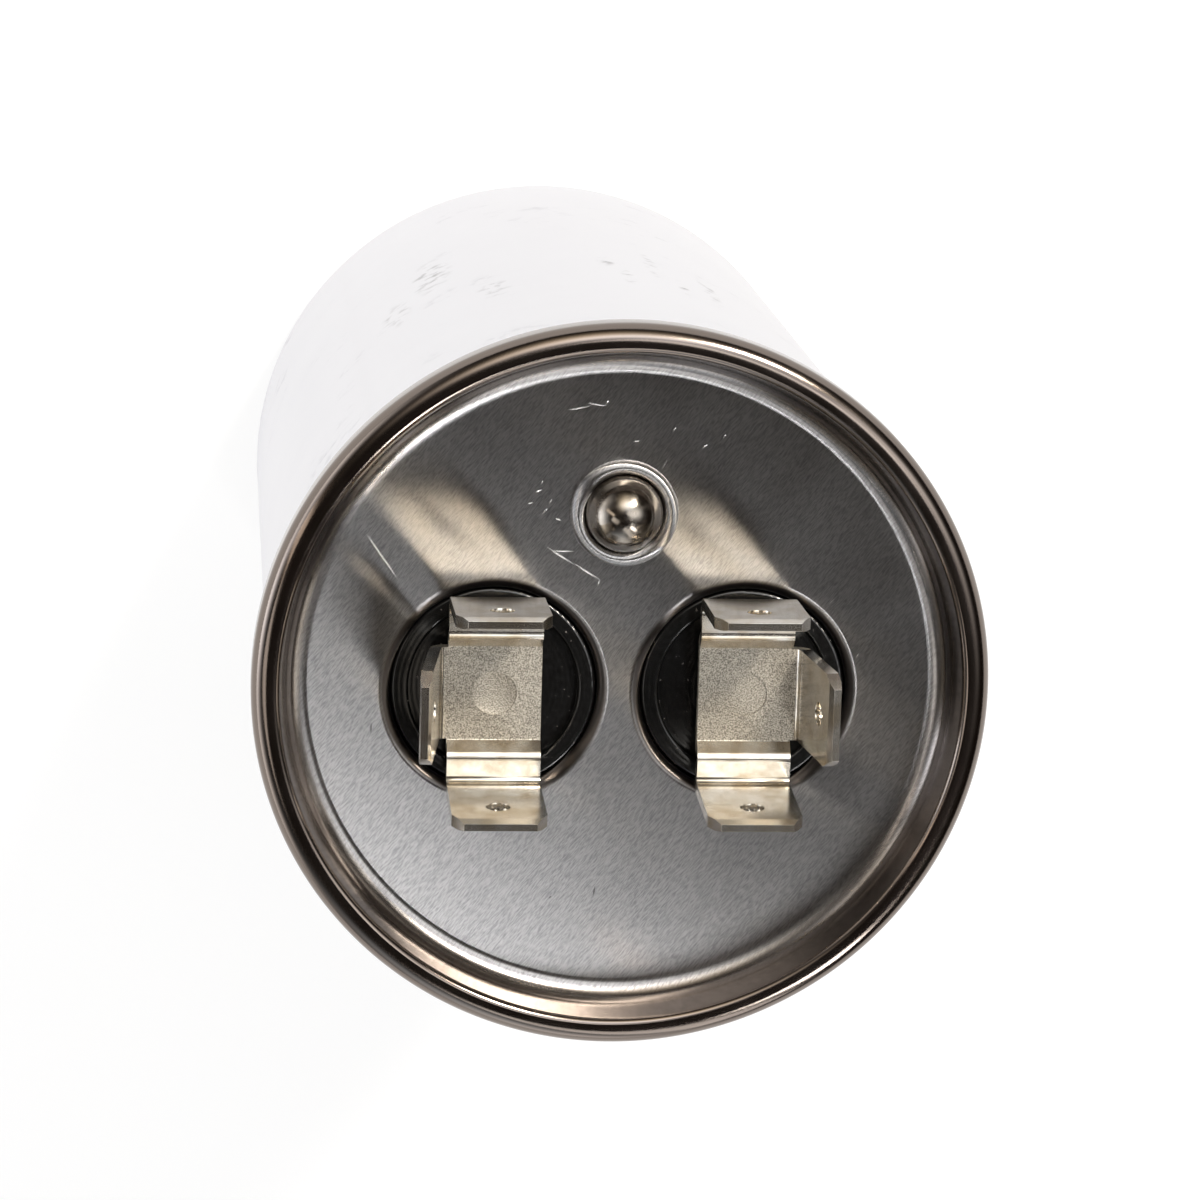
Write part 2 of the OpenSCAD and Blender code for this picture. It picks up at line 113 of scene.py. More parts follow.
# pressed cover, rolled over the can's wall
cover = {
    "sheet": 0.35,             # mm, thickness
    "hem": 0.45,               # mm, the can's wall that is folded inside the seam
    "seamHeight": 3.0,         # mm
    "shoulder": 0.85,          # mm, inside bend at the seam's outer top
    "crest": 0.15,             # mm, inside bend at its inner top
    "gap": 0.1,                # mm, left at the end of each hook
    "drop": 3.4,               # mm, from the seam's top down to the panel
    "lean": 12,                # degrees, wall between them
    "fillet": 1.5,             # mm, foot of that wall
    "cup": 7.0,                # mm, radius of each cup
    "cupDepth": 2.75,          # mm
    "cupHole": 3.5,            # mm, radius
    "mouth": 0.45,             # mm, inside bend at a cup's mouth
    "cupFoot": 0.5,            # mm, inside bend at its floor
    "lip": 0.15,               # mm, inside bend of the filling lip
    "lipRise": 0.05,           # mm
    "skirt": 0.9,              # mm, depth of the filling hole's skirt
    "turns": 288,              # steps round the seam
    "cupTurns": 144,
    "lipTurns": 96,
    "tin": "BDBCBC",           # bare tinplate
    "tinDark": "979697",       # the same in the valleys of the rolled grain
    "seamPaintedReflection": "7D736C",      # painted reflection: the seam's tin darker and browner, standing in for the dim brown room it mirrors
    "grainTurn": 52,           # degrees, direction of the grain
    "lineWidth": 0.06,         # mm
    "lineLength": 0.45,        # mm
    "lineDepth": 0.0035,       # mm
    "cloud": 3.846,            # mm, size of the duller patches
    "spread": 1.0,             # how much more the grain scatters across than along
    "roughness": 0.33,
    "wear": 0.05,              # how far the roughness strays
    "seamRoughness": 0.15,
    "tintFrom": 21.2,          # mm, radius where the seam's tint starts
    "tintTo": 22.6,            # mm, radius where it is full
    "mouthPaintedShade": "5A5552",     # painted shade over the bend of each cup's mouth and down its wall
    "shadeReach": 0.9,          # mm, added to the bend's width across the cup
    "shadeFade": (0.05, 0.09),  # part of its mask over which the painted shade comes in
    "scratchTin": "FFFDF8",    # fresh metal
    "scratchCut": 7.0,         # depth of a scratch against the grain's
    "tickDark": "1A1716",
}
# marks on the panel, in mm from the can's axis: x, y, turn, length, width
scratches = [(-16.2, 8.4, -55, 3.9, 0.24), (-4.2, 8.6, -32, 2.4, 0.13), (-2.35, 7.5, -32, 2.1, 0.15),
             (-1.6, 6.75, 70, 0.5, 0.13), (-4.05, 8.93, 0, 1.8, 0.09), (-5.4, 11.6, 48, 0.7, 0.12),
             (-5.0, 12.3, 60, 0.5, 0.12), (-5.8, 13.0, 30, 0.5, 0.14), (-4.4, 11.1, -20, 0.5, 0.1),
             (-5.6, 13.6, 70, 0.4, 0.12), (-6.3, 12.2, 15, 0.45, 0.1), (-3.2, 18.7, 12, 1.5, 0.09),
             (-2.0, 18.95, -8, 1.3, 0.08), (-1.36, 19.1, 40, 0.3, 0.16), (3.2, 17.3, 50, 0.4, 0.13),
             (5.3, 16.2, 30, 0.45, 0.1), (6.6, 16.9, 60, 0.35, 0.12), (0.7, 16.5, 10, 0.5, 0.07),
             (2.6, 14.9, 62, 0.8, 0.08), (14.3, 5.6, 50, 0.7, 0.08), (16.2, 1.8, 58, 0.5, 0.08)]
ticks = [(-16.74, -3.41, 88, 0.9, 0.12), (-1.29, -14.87, 80, 0.8, 0.14), (-4.3, -15.3, 40, 0.3, 0.1)]


def arc(middle, radius, start, end, steps):
    # points of an arc in a section, as radius and height
    turns = [math.radians(start + (end - start) * i / steps) for i in range(steps + 1)]
    return [(middle[0] + radius * math.cos(t), middle[1] + radius * math.sin(t)) for t in turns]


def spinSection(work, points, axis, steps):
    # an open section in mm, turned once round an upright axis
    verts = [work.verts.new((axis.x + r * mm, axis.y, z * mm)) for r, z in points]
    edges = [work.edges.new(pair) for pair in zip(verts, verts[1:])]
    bmesh.ops.spin(work, geom=verts + edges, cent=(axis.x, axis.y, 0), axis=(0, 0, 1),
                   angle=math.tau, steps=steps, use_merge=True)


def seamSection(rim, top):
    # from the panel's edge over the seam, round both hooks and back under the sheet
    sheet, hem = cover["sheet"], cover["hem"]
    outer, wall = rim - sheet, rim - 2 * sheet - hem
    panel = top - cover["drop"]
    bend, crest = cover["shoulder"], cover["crest"]
    shoulderAt = (rim - bend - sheet, top - bend - sheet)
    crestAt = (wall - hem + crest, top - crest - sheet)
    hookAt = ((outer + wall + sheet) / 2, top - cover["seamHeight"] + hem / 2 + sheet)
    hookEnd = shoulderAt[1] - 2 * cover["gap"]
    lean = math.radians(cover["lean"])
    low = panel + cover["fillet"] * (1 - math.sin(lean))
    wallTop = (crestAt[0] - (crest + sheet) * math.cos(lean), crestAt[1] + (crest + sheet) * math.sin(lean))
    filletAt = (wallTop[0] - (wallTop[1] - low) * math.tan(lean) - cover["fillet"] * math.cos(lean),
                panel + cover["fillet"])
    upper = (arc(filletAt, cover["fillet"], -90, -cover["lean"], 14)
             + arc(crestAt, crest + sheet, 180 - cover["lean"], 90, 12)
             + arc(shoulderAt, bend + sheet, 90, 0, 20)
             + arc(hookAt, hem / 2 + sheet, 0, -180, 16) + [(wall, hookEnd), (wall + sheet, hookEnd)])
    under = (arc(hookAt, hem / 2, -180, 0, 10) + arc(shoulderAt, bend, 0, 90, 12)
             + arc(crestAt, crest, 90, 180 - cover["lean"], 6)
             + arc(filletAt, cover["fillet"] + sheet, -cover["lean"], -90, 10))
    return upper + under


def cupSection(panel):
    sheet, foot, mouth = cover["sheet"], cover["cupFoot"], cover["mouth"]
    floor = panel - cover["cupDepth"]
    mouthAt = (cover["cup"] + mouth + sheet, panel - mouth - sheet)
    footAt = (cover["cup"] - foot, floor + foot)
    return (arc(mouthAt, mouth + sheet, 90, 180, 12) + arc(footAt, foot, 0, -90, 8)
            + [(cover["cupHole"], floor), (cover["cupHole"], floor - sheet)]
            + arc(footAt, foot + sheet, -90, 0, 8) + arc(mouthAt, mouth, 180, 90, 8))


def lipSection(panel, hole):
    sheet, bend = cover["sheet"], cover["lip"]
    lipAt = (hole + bend + sheet, panel + cover["lipRise"])
    start = -math.degrees(math.asin(cover["lipRise"] / (bend + sheet)))
    end = panel - cover["skirt"]
    return (arc(lipAt, bend + sheet, start, 180, 20) + [(hole, end), (hole + sheet, end)]
            + arc(lipAt, bend, 180, -60, 14) + [(lipAt[0] + (bend + sheet) / 2, panel - sheet)])


def pressedCover(material):
    # the CAD cover made again with finer turns, so that its bends shine evenly
    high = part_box("cover")[1]
    top, rim = high.z / mm, high.x / mm
    panel = top - cover["drop"]
    work = bmesh.new()
    spinSection(work, seamSection(rim, top), Vector((0, 0, 0)), cover["turns"])
    for side in ("left", "right"):
        corner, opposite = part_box(side + "_bushing")
        spinSection(work, cupSection(panel), (corner + opposite) / 2, cover["cupTurns"])
    corner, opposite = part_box("fill_ball")
    spinSection(work, lipSection(panel, (opposite.x - corner.x) / mm / 2), (corner + opposite) / 2,
                cover["lipTurns"])
    bmesh.ops.remove_doubles(work, verts=work.verts, dist=0.0001 * mm)
    for face in work.faces:
        face.smooth = True
    rings = [edge for edge in work.edges if edge.is_boundary]
    for edge in rings:
        edge.smooth = False
    for height in (panel, panel - cover["sheet"]):
        loops = [edge for edge in rings if abs(edge.verts[0].co.z - height * mm) < 0.01 * mm]
        bmesh.ops.triangle_fill(work, edges=loops, use_beauty=True)
    bmesh.ops.recalc_face_normals(work, faces=work.faces)
    mesh = bpy.data.meshes.new("pressedCover")
    work.to_mesh(mesh)
    work.free()
    mesh.materials.append(material)
    piece = bpy.data.objects.new("pressedCover", mesh)
    bpy.context.scene.collection.objects.link(piece)
    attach(piece, "root")
    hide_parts("cover")


def tinplateMaterial():
    # electrolytic tinplate with the grain of its rolling: satin with glinting short lines
    material, tree, place = newMaterial("grainedTinplate")
    grain = math.radians(cover["grainTurn"])
    brush = addNode(tree, "ShaderNodeMapping",
                    {"vector_type": "TEXTURE", "Rotation": (0, 0, grain),
                     "Scale": (cover["lineLength"] * mm, cover["lineWidth"] * mm, mm)},
                    {"Vector": place})
    lines = addNode(tree, "ShaderNodeTexNoise", {"Scale": 1.0, "Detail": 2.0, "Roughness": 0.6},
                    {"Vector": brush.outputs[0]})
    cloud = addNode(tree, "ShaderNodeTexNoise", {"Scale": 1 / (cover["cloud"] * mm), "Detail": 3.0},
                    {"Vector": place})
    axes = addNode(tree, "ShaderNodeSeparateXYZ", links={"Vector": place})
    flat = addNode(tree, "ShaderNodeCombineXYZ",
                   links={"X": axes.outputs["X"], "Y": axes.outputs["Y"]})
    radius = addNode(tree, "ShaderNodeVectorMath", {"operation": "LENGTH"},
                     {0: flat.outputs[0]})
    seamMask = addNode(tree, "ShaderNodeMapRange",
                       {"From Min": cover["tintFrom"] * mm, "From Max": cover["tintTo"] * mm},
                       {"Value": radius.outputs["Value"]})
    tone = addNode(tree, "ShaderNodeValToRGB", links={"Fac": lines.outputs["Fac"]})
    setRamp(tone, [(0.36, hexColour(cover["tinDark"])), (0.6, hexColour(cover["tin"]))])
    # painted reflection round the seam: darker, browner tin mixed in, standing in for the dim room the seam
    # mirrors
    seamReflectionTone = addNode(tree, "ShaderNodeMix",
                       {"data_type": "RGBA", 7: hexColour(cover["seamPaintedReflection"])},
                       {0: seamMask.outputs[0], 6: tone.outputs["Color"]})
    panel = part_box("cover")[1].z / mm - cover["drop"]
    bright, dark = (markMask(tree, place, [((x, y, panel), turn, (length, width, 3))
                                           for x, y, turn, length, width in marks])
                    for marks in (scratches, ticks))
    cups = [sum(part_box(side + "_bushing"), Vector()) / 2 / mm for side in ("left", "right")]
    reach = 2 * (cover["cup"] + cover["mouth"] + cover["sheet"]) + cover["shadeReach"]
    mouths = markMask(tree, place, [((cup.x, cup.y, panel), 0, (reach, reach, 40)) for cup in cups])
    # painted shade: the bend of each cup's mouth and the cup's wall made dark, where the hollow would fall
    # into shade
    mouthShadeMask = addNode(tree, "ShaderNodeMapRange",
                       {"From Min": cover["shadeFade"][0], "From Max": cover["shadeFade"][1]},
                       {"Value": mouths})
    mouthShaded = addNode(tree, "ShaderNodeMix", {"data_type": "RGBA", 7: hexColour(cover["mouthPaintedShade"])},
                     {0: mouthShadeMask.outputs[0], 6: seamReflectionTone.outputs[2]})
    scratched = addNode(tree, "ShaderNodeMix",
                        {"data_type": "RGBA", 7: hexColour(cover["scratchTin"])},
                        {0: bright, 6: mouthShaded.outputs[2]})
    ticked = addNode(tree, "ShaderNodeMix",
                     {"data_type": "RGBA", 7: hexColour(cover["tickDark"])},
                     {0: dark, 6: scratched.outputs[2]})
    worn = addNode(tree, "ShaderNodeMapRange",
                   {"To Min": cover["roughness"] - cover["wear"],
                    "To Max": cover["roughness"] + cover["wear"]}, {"Value": cloud.outputs["Fac"]})
    rough = addNode(tree, "ShaderNodeMath",
                    {"operation": "MULTIPLY_ADD", 1: cover["seamRoughness"] - cover["roughness"]},
                    {0: seamMask.outputs[0], 2: worn.outputs[0]})
    across = addNode(tree, "ShaderNodeCombineXYZ", {"X": -math.sin(grain), "Y": math.cos(grain)})
    spread = addNode(tree, "ShaderNodeMapRange", {"To Min": cover["spread"], "To Max": 0.0},
                     {"Value": seamMask.outputs[0]})
    height = addNode(tree, "ShaderNodeMath", {"operation": "MULTIPLY_ADD", 1: -cover["scratchCut"]},
                     {0: bright, 2: lines.outputs["Fac"]})
    bump = addNode(tree, "ShaderNodeBump", {"Strength": 0.6, "Distance": cover["lineDepth"] * mm},
                   {"Height": height.outputs[0]})
    metal = addNode(tree, "ShaderNodeBsdfPrincipled", {"Metallic": 1.0},
                    {"Base Color": ticked.outputs[2], "Roughness": rough.outputs[0],
                     "Anisotropic": spread.outputs[0], "Tangent": across.outputs[0],
                     "Normal": bump.outputs[0]})
    closeMaterial(tree, metal)
    return material


pressedCover(tinplateMaterial())
print("cover made")

# drawn can
can = {
    "bright": "E6E6EA",        # washed aluminium
    "scuff": "B9B9C0",         # grey handling marks
    "roughness": 0.36,
    "drawLine": 0.5,           # mm, spacing of the drawing lines along the wall
    "drawLength": 30,          # mm, length of one line
    "drawDepth": 0.01,         # mm
    "smudge": 11.11,           # mm, size of the handling marks
    "fleck": 1.111,            # mm, size of the flecks that break them up
    "smudged": (0.56, 0.74),   # noise over which a handling mark comes in
    "flecked": (0.5, 0.72),
    "mark": "8A888C",          # darker rubs on the wall
    "rubDepth": 8,             # mm, width of a rub's mask through the wall
    "rubInset": 1,             # mm, its middle inside the wall's face
}
# rubs on the wall: degrees round the axis, height, length round, length up in mm
rubs = [(86.5, 45, 1.6, 5), (78, 44, 1.2, 14), (74, 52, 1.0, 9), (68, 48, 1.4, 16), (84, 52, 1.2, 8),
        (118, 36, 4.0, 16), (126, 44, 3.0, 10), (108, 52, 3.0, 8)]


def canMaterial():
    # deep-drawn aluminium, washed: pale and satin, with lines along the draw and grey smudges
    material, tree, place = newMaterial("drawnAluminium")
    drawn = addNode(tree, "ShaderNodeMapping",
                    {"vector_type": "TEXTURE",
                     "Scale": (can["drawLine"] * mm, can["drawLine"] * mm, can["drawLength"] * mm)},
                    {"Vector": place})
    lines = addNode(tree, "ShaderNodeTexNoise", {"Scale": 1.0, "Detail": 2.0},
                    {"Vector": drawn.outputs[0]})
    smudge = addNode(tree, "ShaderNodeTexNoise",
                     {"Scale": 1 / (can["smudge"] * mm), "Detail": 6.0, "Roughness": 0.62},
                     {"Vector": place})
    fleck = addNode(tree, "ShaderNodeTexNoise", {"Scale": 1 / (can["fleck"] * mm), "Detail": 3.0},
                    {"Vector": place})
    smudgeMask = addNode(tree, "ShaderNodeMapRange",
                         {"From Min": can["smudged"][0], "From Max": can["smudged"][1]},
                         {"Value": smudge.outputs["Fac"]})
    fleckMask = addNode(tree, "ShaderNodeMapRange",
                        {"From Min": can["flecked"][0], "From Max": can["flecked"][1]},
                        {"Value": fleck.outputs["Fac"]})
    worn = addNode(tree, "ShaderNodeMath", {"operation": "MULTIPLY"},
                   {0: smudgeMask.outputs[0], 1: fleckMask.outputs[0]})
    tone = addNode(tree, "ShaderNodeMix",
                   {"data_type": "RGBA", 6: hexColour(can["bright"]), 7: hexColour(can["scuff"])},
                   {0: worn.outputs[0]})
    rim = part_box("can")[1].x / mm - can["rubInset"]
    spots = []
    for turn, height, around, up in rubs:
        middle = Matrix.Rotation(math.radians(turn), 3, "Z") @ Vector((rim, 0, height))
        spots.append((middle, turn, (can["rubDepth"], around, up)))
    patchy = addNode(tree, "ShaderNodeMath", {"operation": "MULTIPLY"},
                     {0: markMask(tree, place, spots), 1: fleckMask.outputs[0]})
    marked = addNode(tree, "ShaderNodeMix",
                     {"data_type": "RGBA", 7: hexColour(can["mark"])},
                     {0: patchy.outputs[0], 6: tone.outputs[2]})
    rough = addNode(tree, "ShaderNodeMapRange",
                    {"To Min": can["roughness"] - 0.05, "To Max": can["roughness"] + 0.12},
                    {"Value": smudge.outputs["Fac"]})
    bump = addNode(tree, "ShaderNodeBump", {"Strength": 0.25, "Distance": can["drawDepth"] * mm},
                   {"Height": lines.outputs["Fac"]})
    metal = addNode(tree, "ShaderNodeBsdfPrincipled", {"Metallic": 1.0},
                    {"Base Color": marked.outputs[2], "Roughness": rough.outputs[0],
                     "Normal": bump.outputs[0]})
    closeMaterial(tree, metal)
    return material


dress(["can"], canMaterial())
print("can dressed")

# ball that plugs the filling hole
ball = {
    "steel": "9A938A",
    "grime": "6E665D",
    "roughness": 0.12,
    "scuffedRoughness": 0.32,
    "scuff": 0.6667,           # mm, size of the scuffs
    "film": 2.381,             # mm, size of the grime's patches
    "scuffDepth": 0.02,        # mm
}


def ballMaterial():
    # hardened and polished steel, a little scuffed where it was pressed in
    material, tree, place = newMaterial("polishedBallSteel")
    scuff = addNode(tree, "ShaderNodeTexNoise", {"Scale": 1 / (ball["scuff"] * mm), "Detail": 5.0},
                    {"Vector": place})
    film = addNode(tree, "ShaderNodeTexNoise", {"Scale": 1 / (ball["film"] * mm), "Detail": 3.0},
                   {"Vector": place})
    tone = addNode(tree, "ShaderNodeValToRGB", links={"Fac": film.outputs["Fac"]})
    setRamp(tone, [(0.3, hexColour(ball["grime"])), (0.52, hexColour(ball["steel"]))])
    rough = addNode(tree, "ShaderNodeMapRange",
                    {"From Min": 0.4, "From Max": 0.75, "To Min": ball["roughness"],
                     "To Max": ball["scuffedRoughness"]},
                    {"Value": scuff.outputs["Fac"]})
    bump = addNode(tree, "ShaderNodeBump", {"Strength": 0.12, "Distance": ball["scuffDepth"] * mm},
                   {"Height": scuff.outputs["Fac"]})
    metal = addNode(tree, "ShaderNodeBsdfPrincipled", {"Metallic": 1.0},
                    {"Base Color": tone.outputs["Color"], "Roughness": rough.outputs[0],
                     "Normal": bump.outputs[0]})
    closeMaterial(tree, metal)
    return material


dress(["fill_ball"], ballMaterial())
print("ball dressed")

# folded blade terminals
terminal = {
    "tin": "DAD5CC",           # dull tin plating over brass
    "brass": "C2B6A2",         # where the plating is thin
    "roughness": 0.19,
    "coinedRoughness": 0.55,
    "patch": 1.4286,           # mm, size of the plating's patches
    "plate": 0.8,              # mm, thickness of the base plate
    "skin": 0.04,              # mm over the plate that still counts as its coined face
    "grit": 0.085,             # mm, stipple of the coined centre
    "gritLight": "D2CCC0",
    "gritDark": "716C64",
    "stippleDepth": 0.014,     # mm
    "weldRise": 1.5,           # height of a weld's ridge against the stipple's
    "edge": 0.05,              # mm, rounding left by the stamping
    "crease": 0.12,            # mm, rounding inside each bend of the steps
    "crown": 0.35,             # mm, rounding outside each bend of the steps
    "bendFrom": 35,            # degrees between faces that make a bend
    "edgeFrom": 58,            # degrees between faces that make a cut edge
    "crownSteps": 6,
    "creaseSteps": 4,
    "edgeSteps": 2,
}
# ridges left by the welding, in mm from the can's axis: x, y, turn, length, width
welds = [(-7.75, 0.45, 10, 1.0, 0.2), (-8.45, -0.15, 80, 1.0, 0.2), (-7.9, -0.8, -12, 0.9, 0.18),
         (-6.95, 0.23, 45, 0.45, 0.35), (6.4, -1.36, 60, 0.9, 0.35), (8.6, -1.0, 15, 1.6, 0.5),
         (9.1, -0.55, -40, 0.9, 0.16)]


def terminalMaterial():
    # tin-plated brass strip, stamped and folded: soft sheen, with a coined matte centre
    material, tree, place = newMaterial("tinPlatedBrass")
    patch = addNode(tree, "ShaderNodeTexNoise", {"Scale": 1 / (terminal["patch"] * mm), "Detail": 5.0},
                    {"Vector": place})
    grit = addNode(tree, "ShaderNodeTexNoise",
                   {"Scale": 1 / (terminal["grit"] * mm), "Detail": 2.0, "Roughness": 0.7},
                   {"Vector": place})
    axes = addNode(tree, "ShaderNodeSeparateXYZ", links={"Vector": place})
    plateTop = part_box("left_terminal")[0].z + terminal["plate"] * mm
    centre = addNode(tree, "ShaderNodeMath",
                     {"operation": "LESS_THAN", 1: plateTop + terminal["skin"] * mm},
                     {0: axes.outputs["Z"]})
    tone = addNode(tree, "ShaderNodeValToRGB", links={"Fac": patch.outputs["Fac"]})
    setRamp(tone, [(0.3, hexColour(terminal["brass"])), (0.6, hexColour(terminal["tin"]))])
    gritTone = addNode(tree, "ShaderNodeValToRGB", links={"Fac": grit.outputs["Fac"]})
    setRamp(gritTone, [(0.38, hexColour(terminal["gritDark"])), (0.62, hexColour(terminal["gritLight"]))])
    colour = addNode(tree, "ShaderNodeMix", {"data_type": "RGBA"},
                     {0: centre.outputs[0], 6: tone.outputs["Color"], 7: gritTone.outputs["Color"]})
    rough = addNode(tree, "ShaderNodeMapRange",
                    {"To Min": terminal["roughness"], "To Max": terminal["coinedRoughness"]},
                    {"Value": centre.outputs[0]})
    ridges = markMask(tree, place, [((x, y, plateTop / mm), turn, (length, width, 1))
                                    for x, y, turn, length, width in welds])
    rubbed = addNode(tree, "ShaderNodeMath", {"operation": "MULTIPLY_ADD", 1: terminal["weldRise"]},
                     {0: ridges, 2: grit.outputs["Fac"]})
    height = addNode(tree, "ShaderNodeMath", {"operation": "MULTIPLY"},
                     {0: rubbed.outputs[0], 1: centre.outputs[0]})
    bump = addNode(tree, "ShaderNodeBump",
                   {"Strength": 0.8, "Distance": terminal["stippleDepth"] * mm},
                   {"Height": height.outputs[0]})
    metal = addNode(tree, "ShaderNodeBsdfPrincipled", {"Metallic": 1.0},
                    {"Base Color": colour.outputs[2], "Roughness": rough.outputs[0],
                     "Normal": bump.outputs[0]})
    closeMaterial(tree, metal)
    return material


def foldedTerminal(side, material):
    # the CAD terminal with its bends and the cut edges of its strip rounded over
    mesh = bpy.data.meshes.new(side + "FoldedTerminal")
    work = bmesh.new()
    work.from_mesh(nodes[side + "_terminal"].data)
    bmesh.ops.remove_doubles(work, verts=work.verts, dist=0.001 * mm)
    bmesh.ops.dissolve_limit(work, angle_limit=math.radians(0.5), verts=work.verts, edges=work.edges)
    bends = [edge for edge in work.edges
             if terminal["bendFrom"] < math.degrees(edge.calc_face_angle(0)) < terminal["edgeFrom"]]
    for convex, name in ((True, "crown"), (False, "crease")):
        turned = [edge for edge in bends if edge.is_valid and edge.is_convex == convex]
        bmesh.ops.bevel(work, geom=turned, affect="EDGES", offset=terminal[name] * mm,
                        segments=terminal[name + "Steps"], profile=0.5, material=-1, clamp_overlap=True)
    sharp = [edge for edge in work.edges
             if edge.calc_face_angle(0) > math.radians(terminal["edgeFrom"])]
    bmesh.ops.bevel(work, geom=sharp, affect="EDGES", offset=terminal["edge"] * mm,
                    segments=terminal["edgeSteps"], profile=0.5, material=-1, clamp_overlap=True)
    work.to_mesh(mesh)
    work.free()
    mesh.materials.append(material)
    piece = bpy.data.objects.new(side + "FoldedTerminal", mesh)
    bpy.context.scene.collection.objects.link(piece)
    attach(piece, "root")
    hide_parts(side + "_terminal")


strip = terminalMaterial()
for side in ("left", "right"):
    foldedTerminal(side, strip)
print("terminals made")

# insulators round the studs
insulator = {
    "black": "070707",
    "dust": "6E6A66",
    "roughness": 0.16,
    "ring": 0.35,              # mm, spacing of the mould's turning marks
    "ringDepth": 0.012,        # mm
    "speck": 0.3846,           # mm, size of the dust
    "dusted": (0.69, 0.76),    # noise over which a speck comes in
}


def insulatorMaterial(side):
    # moulded phenolic, black and glossy, with faint rings left by the turned mould
    material, tree, place = newMaterial("mouldedPhenolic" + side.capitalize())
    low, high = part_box(side + "_bushing")
    middle = (low + high) / 2
    centred = addNode(tree, "ShaderNodeMapping",
                      {"vector_type": "TEXTURE", "Location": (middle.x, middle.y, 0)},
                      {"Vector": place})
    # a wave at scale 1 repeats every 0.314 units
    rings = addNode(tree, "ShaderNodeTexWave",
                    {"wave_type": "RINGS", "rings_direction": "Z",
                     "Scale": 0.314 / (insulator["ring"] * mm), "Distortion": 0.6,
                     "Detail": 2.0}, {"Vector": centred.outputs[0]})
    dust = addNode(tree, "ShaderNodeTexNoise", {"Scale": 1 / (insulator["speck"] * mm), "Detail": 3.0},
                   {"Vector": place})
    dustMask = addNode(tree, "ShaderNodeMapRange",
                       {"From Min": insulator["dusted"][0], "From Max": insulator["dusted"][1]},
                       {"Value": dust.outputs["Fac"]})
    tone = addNode(tree, "ShaderNodeMix",
                   {"data_type": "RGBA", 6: hexColour(insulator["black"]), 7: hexColour(insulator["dust"])},
                   {0: dustMask.outputs[0]})
    rough = addNode(tree, "ShaderNodeMapRange",
                    {"To Min": insulator["roughness"] - 0.05, "To Max": insulator["roughness"] + 0.14},
                    {"Value": dust.outputs["Fac"]})
    bump = addNode(tree, "ShaderNodeBump", {"Strength": 0.3, "Distance": insulator["ringDepth"] * mm},
                   {"Height": rings.outputs["Fac"]})
    plastic = addNode(tree, "ShaderNodeBsdfPrincipled", {"IOR": 1.6},
                      {"Base Color": tone.outputs[2], "Roughness": rough.outputs[0],
                       "Normal": bump.outputs[0]})
    closeMaterial(tree, plastic)
    return material


for side in ("left", "right"):
    dress([side + "_bushing"], insulatorMaterial(side))
print("insulators dressed")

# pieces sealed inside the can
# name: (nodes, base, second tone, metallic, roughness, grain in mm, grain depth in mm)
innerFinishes = {
    "nickelPlatedSteel": (["left_stud", "right_stud"], "B9BABD", "8E8E90", 1.0, 0.28, 0.4, 0.004),
    "mouldedNitrile": (["left_gasket", "right_gasket"], "1B1B1B", "2B2A29", 0.0, 0.7, 0.3, 0.01),
    "punchedLaminate": (["left_inner_washer", "right_inner_washer"], "A9793F", "7B5428", 0.0, 0.6, 0.5, 0.02),
    "tinnedCopper": (["upper_lead", "lower_lead"], "CDB391", "B08253", 1.0, 0.3, 0.5, 0.005),
    "softSolder": (["upper_solder", "lower_solder"], "A9ABAF", "77797D", 1.0, 0.35, 0.6, 0.02),
    "curedSealant": (["seam_compound"], "6B1F19", "4A1410", 0.0, 0.5, 0.3, 0.01),
    "metallisedFilm": (["winding"], "E6E2D2", "CFCBBA", 0.4, 0.25, 0.2, 0.01),
    "injectedPolypropylene": (["winding_core", "insulating_cup"], "E6E4DC", "D5D2C8", 0.0, 0.45, 0.8, 0.01),
    "wrappedFilm": (["winding_wrap"], "EDE3B4", "DDD09A", 0.0, 0.22, 0.9, 0.01),
    "sprayedZinc": (["top_end_spray", "bottom_end_spray"], "8B8E93", "63666B", 0.9, 0.6, 0.25, 0.04),
    "phenolicBoard": (["barrier_disc"], "B08D5C", "8E6C40", 0.0, 0.5, 0.6, 0.02),
}


def innerMaterial(name, base, second, metallic, roughness, grain, depth):
    # each sealed piece still has its own grain, in case the can is ever opened up
    material, tree, place = newMaterial(name)
    noise = addNode(tree, "ShaderNodeTexNoise", {"Scale": 1 / (grain * mm), "Detail": 4.0},
                    {"Vector": place})
    tone = addNode(tree, "ShaderNodeValToRGB", links={"Fac": noise.outputs["Fac"]})
    setRamp(tone, [(0.35, hexColour(second)), (0.65, hexColour(base))])
    rough = addNode(tree, "ShaderNodeMapRange",
                    {"To Min": roughness - 0.08, "To Max": roughness + 0.12},
                    {"Value": noise.outputs["Fac"]})
    bump = addNode(tree, "ShaderNodeBump", {"Strength": 0.5, "Distance": depth * mm},
                   {"Height": noise.outputs["Fac"]})
    shader = addNode(tree, "ShaderNodeBsdfPrincipled", {"Metallic": metallic},
                     {"Base Color": tone.outputs["Color"], "Roughness": rough.outputs[0],
                      "Normal": bump.outputs[0]})
    closeMaterial(tree, shader)
    return material


for name, (members, *finish) in innerFinishes.items():
    dress(members, innerMaterial(name, *finish))
print("inner pieces dressed")

